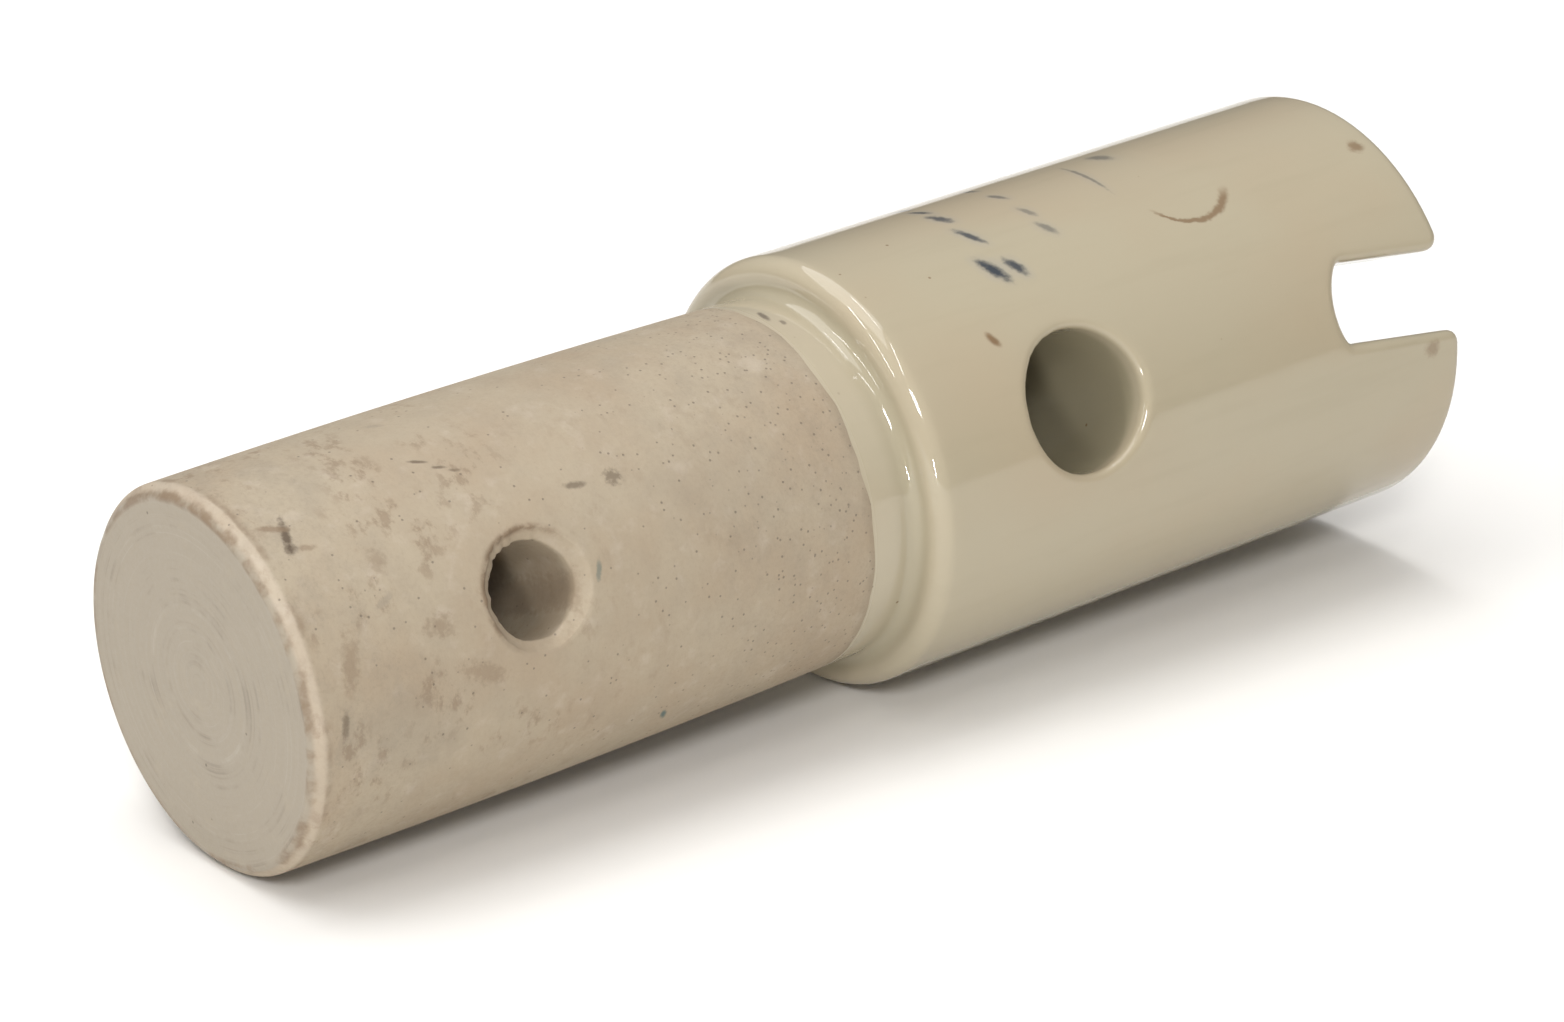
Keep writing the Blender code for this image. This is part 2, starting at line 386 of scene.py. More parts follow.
def slot_half(side):
    """One side of the slot as (along, across), from mid floor along its wall and over its horn."""
    s = sizes()
    half, corner, floor, horn = s.slot_width / 2, s.slot_corner, s.slot_floor_radius, s.slot_horn_round
    lean = Matrix.Rotation(s.slot_lean, 2)
    pivot = Vector((-s.slot_pivot, 0.0))

    def leaning(along, across):
        return lean @ (Vector((along, side * across)) - pivot) + pivot

    floor_centre = floor - s.slot_depth
    corner_centre = floor_centre - math.sqrt((floor - corner) ** 2 - (half - corner) ** 2)
    meet = math.atan2(half - corner, floor_centre - corner_centre)
    points = []
    for i in range(16):
        turn = meet * i / 16
        points.append(leaning(floor_centre - floor * math.cos(turn), floor * math.sin(turn)))
    for i in range(12):
        turn = meet + (math.pi / 2 - meet) * i / 12
        across = half - corner + corner * math.sin(turn)
        points.append(leaning(corner_centre - corner * math.cos(turn), across))
    horn_along = (s.slot_pivot - horn + side * (half + horn) * math.sin(s.slot_lean)) / math.cos(s.slot_lean)
    horn_centre = leaning(horn_along - s.slot_pivot, half + horn)
    points.append(leaning(corner_centre, half))
    start = math.atan2(-side * math.cos(s.slot_lean), side * math.sin(s.slot_lean))
    for i in range(25):
        turn = start * (1 - i / 24)
        points.append(horn_centre + Vector((math.cos(turn), math.sin(turn))) * horn)
    return points


def even_path(points, count):
    """Points on an open outline, a little closer together near its start, each with its unit direction."""
    runs = [0.0]
    for a, b in zip(points, points[1:]):
        runs.append(runs[-1] + (b - a).length)
    path = []
    k = 0
    for i in range(count + 1):
        want = runs[-1] * (i / count) ** 1.15
        while k < len(points) - 2 and runs[k + 1] < want:
            k += 1
        ahead = points[k + 1] - points[k]
        path.append((points[k] + ahead * ((want - runs[k]) / ahead.length), ahead.normalized()))
    return path


class SlottedEnd:
    """The outline of the barrel's end and its slot, drawn on a tube of any radius."""

    def __init__(self):
        self.quarter = sizes().facets // 4
        self.turned = round(self.quarter * 0.66)
        self.halves = {side: even_path(slot_half(side), self.turned) for side in (1, -1)}

    def mark(self, index, radius, inset):
        """(station, turn) of one vertex of the outline, moved into the porcelain by inset."""
        facets = 4 * self.quarter
        index = (index + self.quarter) % facets - self.quarter
        back = index > self.quarter
        step = 2 * self.quarter - index if back else index
        side = -1 if step < 0 else 1
        count = abs(step)
        point, ahead = self.halves[side][min(count, self.turned)]
        if count <= self.turned:
            away = Vector((-side * ahead.y, side * ahead.x))
            if count == 0:
                lean = sizes().slot_lean
                away = Vector((-math.cos(lean), -math.sin(lean)))
            place = point + away * inset
            station, turn = LENGTH + place.x, math.asin(place.y / radius)
        else:
            first = math.asin(point.y / radius)
            share = (count - self.turned) / (self.quarter - self.turned)
            station, turn = LENGTH - inset, first + (side * math.pi / 2 - first) * share
        return station, math.pi - turn if back else turn

    def ring(self, radius, inset=0.0):
        return [self.mark(i, radius, inset) for i in range(4 * self.quarter)]


def tube_places(marks, radius):
    return [turned_place(station, turn, radius) for station, turn in marks]


def eased(plain_station, marks, share, opened=0.0):
    """Marks part of the way from a plain ring, opened out beside the slot, to the end's outline."""
    result = []
    for i, (station, turn) in enumerate(marks):
        start = ring_turn(i)
        start += opened * math.sin(2 * start)
        turn += 2 * math.pi * round((start - turn) / (2 * math.pi))
        result.append((plain_station + (station - plain_station) * share, start + (turn - start) * share))
    return result


def slotted_end(bm, ring, plain_station):
    """Carries the outside on to the end's outline, round its lip, across the slot and into the socket."""
    s = sizes()
    end = SlottedEnd()
    outer = BARREL_RADIUS
    lip = s.rim_round
    marks = end.ring(outer, lip)
    for i in range(1, 11):
        ring = grow(bm, ring, tube_places(eased(plain_station, marks, i / 10), outer), GLAZED)
    start = tube_places(marks, outer)
    corner = tube_places(end.ring(outer), outer)
    wall = tube_places(end.ring(outer - lip), outer - lip)
    for i in range(1, 9):
        ring = grow(bm, ring, [curled(a, c, b, i / 8) for a, c, b in zip(start, corner, wall)], GLAZED)
    edge = s.socket_edge
    inner = s.socket_radius
    for radius in [outer - lip + (inner + edge - outer + lip) * i / 8 for i in range(1, 9)]:
        ring = grow(bm, ring, tube_places(end.ring(radius), radius), GLAZED)
    start = tube_places(end.ring(inner + edge), inner + edge)
    corner = tube_places(end.ring(inner), inner)
    marks = end.ring(inner, edge)
    wall = tube_places(marks, inner)
    for i in range(1, 7):
        ring = grow(bm, ring, [curled(a, c, b, i / 6) for a, c, b in zip(start, corner, wall)], GLAZED)
    for i in range(1, 9):
        ring = grow(bm, ring, tube_places(eased(plain_station, marks, 1 - i / 8, 0.36), inner))
    fillet = SOCKET_FILLET
    floor = LENGTH - s.socket_depth
    for depth in spaced(plain_station - floor, fillet, 1.5 * MM):
        ring = grow(bm, ring, plain_places(floor + depth, inner))
    for i in range(1, 7):
        turn = math.pi / 2 * i / 6
        radius = inner - fillet + fillet * math.cos(turn)
        ring = grow(bm, ring, plain_places(floor + fillet - fillet * math.sin(turn), radius))
    for radius in (7.0 * MM, 4.0 * MM, 1.0 * MM):
        ring = grow(bm, ring, plain_places(floor, radius))
    close(bm, ring)


# --- The whole skin ---


def first_ring(bm, station, radius):
    ring = bmesh.ops.create_circle(bm, cap_ends=False, radius=radius, segments=sizes().facets)["verts"]
    for vert, place in zip(ring, plain_places(station, radius)):
        vert.co = place
    return list(ring)


def outer_skin(bm):
    """The whole outside of the fired insulator as one closed skin, each face marked bare or glazed."""
    s = sizes()
    bm.faces.layers.int.new("zone")
    small = hole_block(SPIGOT_HOLE_STATION, spigot_radius(SPIGOT_HOLE_STATION),
                       s.spigot_hole_radius + s.countersink)
    large = hole_block(BARREL_HOLE_STATION, BARREL_RADIUS, s.barrel_hole_radius + s.barrel_hole_lip)
    plain_station = LENGTH - SLOT_REACH
    ring = first_ring(bm, END_FACE, CENTRE_RADIUS)
    close(bm, ring)
    for station, radius in end_face_outline():
        ring = grow(bm, ring, plain_places(station, radius))
    rings = []
    for station, radius, zone in outside_outline((small, large), plain_station):
        places = plain_places(station, radius)
        if abs(station - GLAZE_LINE) < 0.01 * MM:
            shifts = [wander(ring_turn(i)) for i in range(s.facets)]
            places = [turned_place(station + d, ring_turn(i), radius) for i, d in enumerate(shifts)]
        ring = grow(bm, ring, places, zone)
        rings.append((station, ring))
    slotted_end(bm, ring, plain_station)
    spigot_hole(bm, rings, small)
    barrel_hole(bm, rings, large)


def spigot_hole(bm, rings, block):
    """The small cross hole, countersunk at both mouths with its edges a little worn."""
    s = sizes()
    bottoms = []
    for back in (False, True):
        ring, outer, edge, out = round_hole(bm, rings, block, back, s.spigot_hole_radius,
                                            s.countersink, s.spigot_hole_chips, BARE)
        wall = [place - out * s.countersink for place in edge]
        for share in (0.06, 0.16, 0.5, 0.84, 0.94):
            sag = 0.05 * MM * (1 - abs(2 * share - 1))
            ring = grow(bm, ring, [a + (b - a) * share - out * sag for a, b in zip(outer, wall)])
        ring = grow(bm, ring, [place - out * 0.08 * MM for place in wall])
        bottoms.append(wall_down(bm, ring, out, 10.0 * MM, BARE, 10))
    join(bm, bottoms, BARE)


def barrel_hole(bm, rings, block):
    """The large cross hole, its lip curled in and its whole bore glazed."""
    s = sizes()
    bottoms = []
    for back in (False, True):
        lip = s.barrel_hole_lip
        ring, outer, edge, out = round_hole(bm, rings, block, back, s.barrel_hole_radius,
                                            lip, s.barrel_hole_chips, GLAZED)
        wall = [place - out * lip for place in edge]
        for i in range(1, 9):
            ring = grow(bm, ring, [curled(a, c, b, i / 8) for a, c, b in zip(outer, edge, wall)], GLAZED)
        ring = wall_down(bm, ring, out, 13.0 * MM, GLAZED, 4)
        bottoms.append(wall_down(bm, ring, out, 5.0 * MM, GLAZED, 6))
    join(bm, bottoms, GLAZED)


def wall_down(bm, ring, out, depth, zone, steps):
    """Carries a hole's wall straight in until it is level, at a distance along the hole from the axis."""
    axis = Vector((0.0, 0.0, AXIS_HEIGHT))
    starts = [v.co.copy() for v in ring]
    for i in range(1, steps + 1):
        places = [p - out * (((p - axis).dot(out) - depth) * i / steps) for p in starts]
        ring = grow(bm, ring, places, zone)
    return ring


def join(bm, bottoms, zone):
    """Bridges the two halves of a cross hole's wall."""
    layer = bm.faces.layers.int["zone"]
    edges = [edge for ring in bottoms for edge in ring_edges(bm, ring)]
    for face in bmesh.ops.bridge_loops(bm, edges=edges)["faces"]:
        face[layer] = zone


def new_piece(name, bm, material):
    """A finished piece at the origin, riding on the frame's one body."""
    for face in bm.faces:
        face.smooth = True
    mesh = bpy.data.meshes.new(name)
    bm.to_mesh(mesh)
    bm.free()
    mesh.materials.append(material)
    piece = bpy.data.objects.new(name, mesh)
    bpy.context.scene.collection.objects.link(piece)
    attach(piece, "root")
    return piece


# --- Materials ---


def add_node(tree, kind, inputs=None, **settings):
    """Adds a node with its settings; an input is linked if it is given a socket, or else set."""
    made = tree.nodes.new("ShaderNode" + kind)
    for name, value in settings.items():
        setattr(made, name, value)
    for key, value in (inputs or {}).items():
        if isinstance(value, bpy.types.NodeSocket):
            tree.links.new(value, made.inputs[key])
        else:
            made.inputs[key].default_value = value
    return made


def calc(tree, operation, a, b=0.0, c=0.0):
    return add_node(tree, "Math", {0: a, 1: b, 2: c}, operation=operation).outputs[0]


def product(tree, first, *others):
    for other in others:
        first = calc(tree, "MULTIPLY", first, other)
    return first


def fade(tree, value, low, high, start=0.0, end=1.0):
    """A smooth run from start to end while value goes from low to high."""
    inputs = {"Value": value, "From Min": low, "From Max": high, "To Min": start, "To Max": end}
    return add_node(tree, "MapRange", inputs, interpolation_type="SMOOTHSTEP").outputs["Result"]


def tint(tree, share, below, above):
    """One colour laid over another by a share; a colour is a socket or three linear numbers."""
    inputs = {0: share}
    for key, value in ((6, below), (7, above)):
        inputs[key] = value if isinstance(value, bpy.types.NodeSocket) else (*value, 1.0)
    return add_node(tree, "Mix", inputs, data_type="RGBA").outputs[2]


def laid(tree, base, paint, *factors):
    """A paint laid over a base colour by the product of its factors."""
    return tint(tree, product(tree, *factors), base, paint)


def cloud(tree, where, size_mm, detail=3.0, roughness=0.5, shift=0.0):
    """Noise with features of about one size; shift gives an unrelated copy of it."""
    inputs = {"Vector": where, "W": shift, "Scale": 1.0 / size_mm, "Detail": detail, "Roughness": roughness}
    return add_node(tree, "TexNoise", inputs, noise_dimensions="4D").outputs["Fac"]


def stretched(tree, where, factors):
    return add_node(tree, "VectorMath", {0: where, 1: factors}, operation="MULTIPLY").outputs[0]


class Surface:
    """Places on the insulator in mm: along the axis, round it from the hole line, and out from it."""

    def __init__(self, tree):
        roll = sizes().roll
        height = AXIS_HEIGHT / MM
        coords = add_node(tree, "TexCoord").outputs["Object"]
        mapping = add_node(tree, "Mapping", {
            "Vector": coords,
            "Location": (-START / MM, math.cos(roll) * height, math.sin(roll) * height),
            "Rotation": (math.pi / 2 + roll, 0.0, 0.0),
            "Scale": (1 / MM, 1 / MM, 1 / MM)})
        self.tree = tree
        self.where = mapping.outputs[0]
        split = add_node(tree, "SeparateXYZ", {0: self.where})
        self.along, self.across = split.outputs[0], split.outputs[1]
        self.ahead = product(tree, split.outputs[2], -1.0)
        self.turn = calc(tree, "ARCTAN2", self.across, self.ahead)
        squares = product(tree, self.across, self.across)
        self.out = calc(tree, "SQRT", calc(tree, "MULTIPLY_ADD", self.ahead, self.ahead, squares))
        self.round = product(tree, self.turn, self.out)

    def rubbed(self, at, size_mm, tilt=0.0, ragged=0.6, shift=0.0, grain=0.8):
        """A ragged mark at (along, round) in mm, with its half length, half width and tilt in degrees."""
        tree = self.tree
        u = calc(tree, "SUBTRACT", self.along, at[0])
        v = calc(tree, "SUBTRACT", self.round, at[1])
        c, s = math.cos(math.radians(tilt)), math.sin(math.radians(tilt))
        a = calc(tree, "MULTIPLY_ADD", u, c / size_mm[0], product(tree, v, s / size_mm[0]))
        b = calc(tree, "MULTIPLY_ADD", u, -s / size_mm[1], product(tree, v, c / size_mm[1]))
        away = calc(tree, "SQRT", calc(tree, "MULTIPLY_ADD", a, a, product(tree, b, b)))
        stray = calc(tree, "SUBTRACT", cloud(tree, self.where, grain, 3.0, 0.6, shift), 0.5)
        away = calc(tree, "MULTIPLY_ADD", stray, 2.0 * ragged, away)
        return fade(tree, away, 1.3, 0.35)

    def crescent(self, at, radius, width, shift):
        """A curved stroke in mm: the lower part of a circle at (along, round), thicker at its far end."""
        tree = self.tree
        u = calc(tree, "SUBTRACT", self.along, at[0])
        v = calc(tree, "SUBTRACT", self.round, at[1])
        away = calc(tree, "SQRT", calc(tree, "MULTIPLY_ADD", u, u, product(tree, v, v)))
        stray = calc(tree, "SUBTRACT", cloud(tree, self.where, 0.8, 3.0, 0.6, shift), 0.5)
        off = calc(tree, "ADD", calc(tree, "SUBTRACT", away, radius), product(tree, stray, 0.9))
        off = calc(tree, "ABSOLUTE", off)
        half = fade(tree, u, -radius, radius, width * 0.35, width)
        stroke = fade(tree, calc(tree, "DIVIDE", off, half), 1.3, 0.3)
        return product(tree, stroke, fade(tree, v, radius * 0.35, radius * 0.7))

    def from_hole(self, station):
        """Distance in mm from the axis of a cross hole."""
        u = calc(self.tree, "SUBTRACT", self.along, station / MM)
        squares = calc(self.tree, "MULTIPLY_ADD", u, u, product(self.tree, self.across, self.across))
        return calc(self.tree, "SQRT", squares)


def new_material(name):
    material = bpy.data.materials.new(name)
    material.use_nodes = True
    tree = material.node_tree
    tree.nodes.clear()
    shader = add_node(tree, "BsdfPrincipled")
    output = add_node(tree, "OutputMaterial", {"Surface": shader.outputs[0]})
    output.is_active_output = True
    return material, tree, shader


def relief(tree, layers):
    """Chains bump nodes; each layer is (height, depth in mm, strength)."""
    normal = None
    for height, depth, strength in layers:
        inputs = {"Height": height, "Distance": depth * MM, "Strength": strength}
        if normal is not None:
            inputs["Normal"] = normal
        normal = add_node(tree, "Bump", inputs).outputs[0]
    return normal


def specks(tree, where, spacing_mm, share, radius, shift):
    """Small round flecks: one cell in so many holds one, given by share from 0 to 1."""
    moved = {0: where, 1: (shift, shift * 0.7, -shift)}
    moved = add_node(tree, "VectorMath", moved, operation="ADD").outputs[0]
    cells = add_node(tree, "TexVoronoi", {"Vector": moved, "Scale": 1.0 / spacing_mm, "Randomness": 1.0})
    chance = add_node(tree, "SeparateColor", {0: cells.outputs["Color"]}).outputs[0]
    kept = calc(tree, "LESS_THAN", chance, share)
    dot = fade(tree, cells.outputs["Distance"], radius, radius * 0.45)
    return product(tree, dot, kept)


def bare_fired_porcelain():
    """Bare porcelain: turned on a lathe, fired dry, and greyed, stained and worn by handling."""
    c, s = colours(), sizes()
    material, tree, shader = new_material("Bare fired porcelain, turned")
    here = Surface(tree)
    line = GLAZE_LINE / MM

    patches = cloud(tree, here.where, 9.0, 4.0, 0.55, 1.0)
    base = tint(tree, fade(tree, patches, 0.35, 0.7), c.bare, c.bare_warm)
    # The spigot is greyer towards the glaze line, where it was gripped, and near its end.
    grip = cloud(tree, stretched(tree, here.where, (1.0, 0.8, 0.8)), 3.2, 9.0, 0.80, 7.0)
    grip = fade(tree, grip, 0.40, 0.68)
    near_glaze = fade(tree, here.along, line - 26.0, line - 10.0, 0.20, 0.34)
    near_end = fade(tree, here.along, 22.0, 6.0, 0.0, 0.40)
    weight = calc(tree, "MAXIMUM", near_glaze, near_end)
    base = laid(tree, base, c.bare_grey, grip, weight)
    fine = cloud(tree, here.where, 0.42, 6.0, 0.80, 3.0)
    mottle = fade(tree, fine, 0.46, 0.70, 0.0, 0.40)
    base = laid(tree, base, c.speck, mottle, weight)
    # Brown rubs a few millimetres long, gathered in patches.
    gathered = fade(tree, cloud(tree, here.where, 7.0, 2.0, 0.5, 37.0), 0.42, 0.60)
    gathered = product(tree, gathered, fade(tree, here.along, 34.0, 18.0, 0.25, 1.0))
    rubs = cloud(tree, stretched(tree, here.where, (1.0, 0.7, 0.7)), 1.5, 5.0, 0.68, 39.0)
    rubs = product(tree, fade(tree, rubs, 0.51, 0.63), gathered)
    base = laid(tree, base, c.wear, rubs, 0.58)
    pale = fade(tree, cloud(tree, here.where, 2.2, 4.0, 0.6, 11.0), 0.52, 0.75, 0.0, 0.25)
    base = tint(tree, pale, base, c.bare_pale)

    # The turned end was rubbed smooth and grey, with faint dark rings, and with pale streaks along its rings
    # that are painted glints.
    end = fade(tree, here.along, 0.55, 0.15)
    rings = cloud(tree, add_node(tree, "CombineXYZ", {0: here.out}).outputs[0], 0.45, 2.0, 0.6, 2.0)
    streak = cloud(tree, here.where, 4.5, 3.0, 0.6, 5.0)
    ring_share = product(tree, fade(tree, rings, 0.47, 0.7, 0.0, 0.40), fade(tree, streak, 0.46, 0.66))
    face = tint(tree, ring_share, c.end_face, c.speck)
    # Painted highlight: pale streaks along the rings where the end face shows small glints.
    glint_rings = cloud(tree, add_node(tree, "CombineXYZ", {0: here.out, 1: 5.0}).outputs[0], 0.30, 2.0, 0.6, 31.0)
    painted_glints = product(tree, fade(tree, glint_rings, 0.54, 0.72, 0.0, 0.16), fade(tree, streak, 0.55, 0.40))
    face = tint(tree, painted_glints, face, c.painted_end_glints)
    lighter = fade(tree, cloud(tree, here.where, 3.2, 4.0, 0.6, 13.0), 0.55, 0.8, 0.0, 0.5)
    face = tint(tree, lighter, face, c.bare)
    base = tint(tree, end, base, face)

    # Dirt along both edges of the worn chamfer, in broken lines, with a paler band between them.
    stray = calc(tree, "SUBTRACT", cloud(tree, here.where, 1.6, 4.0, 0.6, 16.0), 0.5)
    crossing = calc(tree, "ADD", here.along, product(tree, stray, 0.9))
    rim = (s.spigot_end_radius - s.end_chamfer) / MM
    inner_line = product(tree, fade(tree, here.out, rim - 0.55, rim - 0.1), fade(tree, crossing, 0.7, 0.3))
    outer_line = product(tree, fade(tree, crossing, 0.95, 1.25), fade(tree, crossing, 2.1, 1.4))
    patchy = fade(tree, cloud(tree, here.where, 3.4, 4.0, 0.6, 17.0), 0.42, 0.60)
    patchy_too = fade(tree, cloud(tree, here.where, 4.6, 4.0, 0.65, 47.0), 0.47, 0.64)
    band = product(tree, fade(tree, here.along, 0.2, 0.5), fade(tree, here.along, 1.5, 0.9))
    base = laid(tree, base, c.bare_pale, band, 0.25)
    base = laid(tree, base, c.wear, inner_line, patchy, 0.85)
    base = laid(tree, base, c.wear, outer_line, patchy_too, 0.6)
    bore = s.spigot_hole_radius / MM
    outer = bore + s.countersink / MM
    away = here.from_hole(SPIGOT_HOLE_STATION)
    ring = product(tree, fade(tree, away, outer - 0.55, outer - 0.1), fade(tree, away, outer + 0.5, outer))
    past_hole = calc(tree, "SUBTRACT", here.along, SPIGOT_HOLE_STATION / MM)
    upper = fade(tree, calc(tree, "ADD", here.across, past_hole), 3.0, -4.5)
    ragged = fade(tree, cloud(tree, here.where, 1.1, 3.0, 0.6, 23.0), 0.35, 0.6, 0.2, 1.0)
    base = laid(tree, base, c.wear, ring, upper, ragged)

    # Stains and rubs that handling left, by their places in millimetres.
    for at, half, tilt, ragged_by, strength, paint in (
            ((4.2, -11.3), (0.5, 1.9), 19.0, 0.8, 0.85, c.soot),
            ((3.7, -12.3), (1.7, 0.42), 20.0, 0.8, 0.75, c.wear),
            ((3.9, -9.9), (0.6, 0.5), 0.0, 0.7, 0.70, c.soot),
            ((5.3, -9.6), (0.8, 0.35), 10.0, 0.9, 0.55, c.wear),
            ((13.6, 0.2), (1.5, 1.0), 10.0, 1.3, 0.50, c.wear),
            ((10.4, -6.6), (0.8, 1.2), 20.0, 1.2, 0.40, c.wear),
            ((17.0, 5.2), (2.4, 0.9), 25.0, 1.3, 0.45, c.wear),
            ((4.6, 0.8), (0.9, 2.6), 15.0, 1.2, 0.50, c.wear),
            ((3.1, 5.6), (0.4, 1.4), 10.0, 0.9, 0.60, c.soot),
            ((27.6, 1.4), (0.5, 2.2), 12.0, 1.0, 0.45, c.wear),
            ((19.2, -14.3), (0.9, 0.22), 25.0, 0.5, 0.7, c.soot),
            ((20.5, -13.0), (0.7, 0.2), 20.0, 0.5, 0.65, c.soot),
            ((21.6, -12.2), (0.6, 0.2), 20.0, 0.5, 0.5, c.soot),
            ((30.9, -7.3), (1.2, 0.35), 10.0, 0.7, 0.6, c.soot),
            ((34.6, -6.9), (0.8, 0.8), 0.0, 1.2, 0.55, c.soot),
            ((19.6, -21.2), (0.9, 0.35), 30.0, 0.8, 0.5, c.bare_grey),
            ((9.4, -3.2), (1.2, 0.4), -30.0, 0.9, 0.5, c.bare_grey),
            ((37.4, 17.5), (0.35, 0.8), -20.0, 0.4, 0.9, c.copper),
            ((29.9, 0.2), (0.3, 1.0), 20.0, 0.6, 0.55, c.copper),
            ((9.0, 7.6), (5.5, 4.6), 20.0, 1.0, 0.34, c.bare_grey),
            ((44.0, -3.0), (7.0, 5.0), 20.0, 1.2, 0.16, c.bare_grey)):
        grain = 0.5 if half[0] < 3.0 else 2.5
        mask = here.rubbed(at, half, tilt, ragged_by, at[0], grain)
        base = laid(tree, base, paint, mask, strength)

    # Iron specks, thicker on the ground towards the glaze line; drawn about a quarter of a millimetre wide.
    thick = fade(tree, here.along, line - 28.0, line - 2.0, 0.10, 0.62)
    thick = product(tree, thick, fade(tree, here.along, 0.5, 1.5))
    dots = specks(tree, here.where, 0.62, thick, 0.24, 3.0)
    base = laid(tree, base, c.speck, dots, 0.58)
    few = specks(tree, here.where, 2.9, 0.20, 0.065, 41.0)
    base = laid(tree, base, c.soot, few, 0.6)

    tree.links.new(base, shader.inputs["Base Color"])
    dry = fade(tree, fine, 0.3, 0.7, 0.66, 0.80)
    rubbed_smooth = product(tree, end, 0.26)
    tree.links.new(calc(tree, "SUBTRACT", dry, rubbed_smooth), shader.inputs["Roughness"])
    shader.inputs["IOR"].default_value = 1.45
    # Turning marks run round the spigot about 0.7 mm apart; the real ones are half that and wouldn't show.
    turned = cloud(tree, add_node(tree, "CombineXYZ", {0: here.along}).outputs[0], 0.7, 2.0, 0.6, 9.0)
    grit = cloud(tree, here.where, 0.35, 3.0, 0.7, 21.0)
    dents = cloud(tree, here.where, 3.0, 2.0, 0.5, 29.0)
    pits = product(tree, dots, -1.0)
    normal = relief(tree, ((dents, 0.10, 0.5), (turned, 0.03, 0.45), (grit, 0.035, 0.6), (pits, 0.05, 0.6)))
    tree.links.new(normal, shader.inputs["Normal"])
    return material


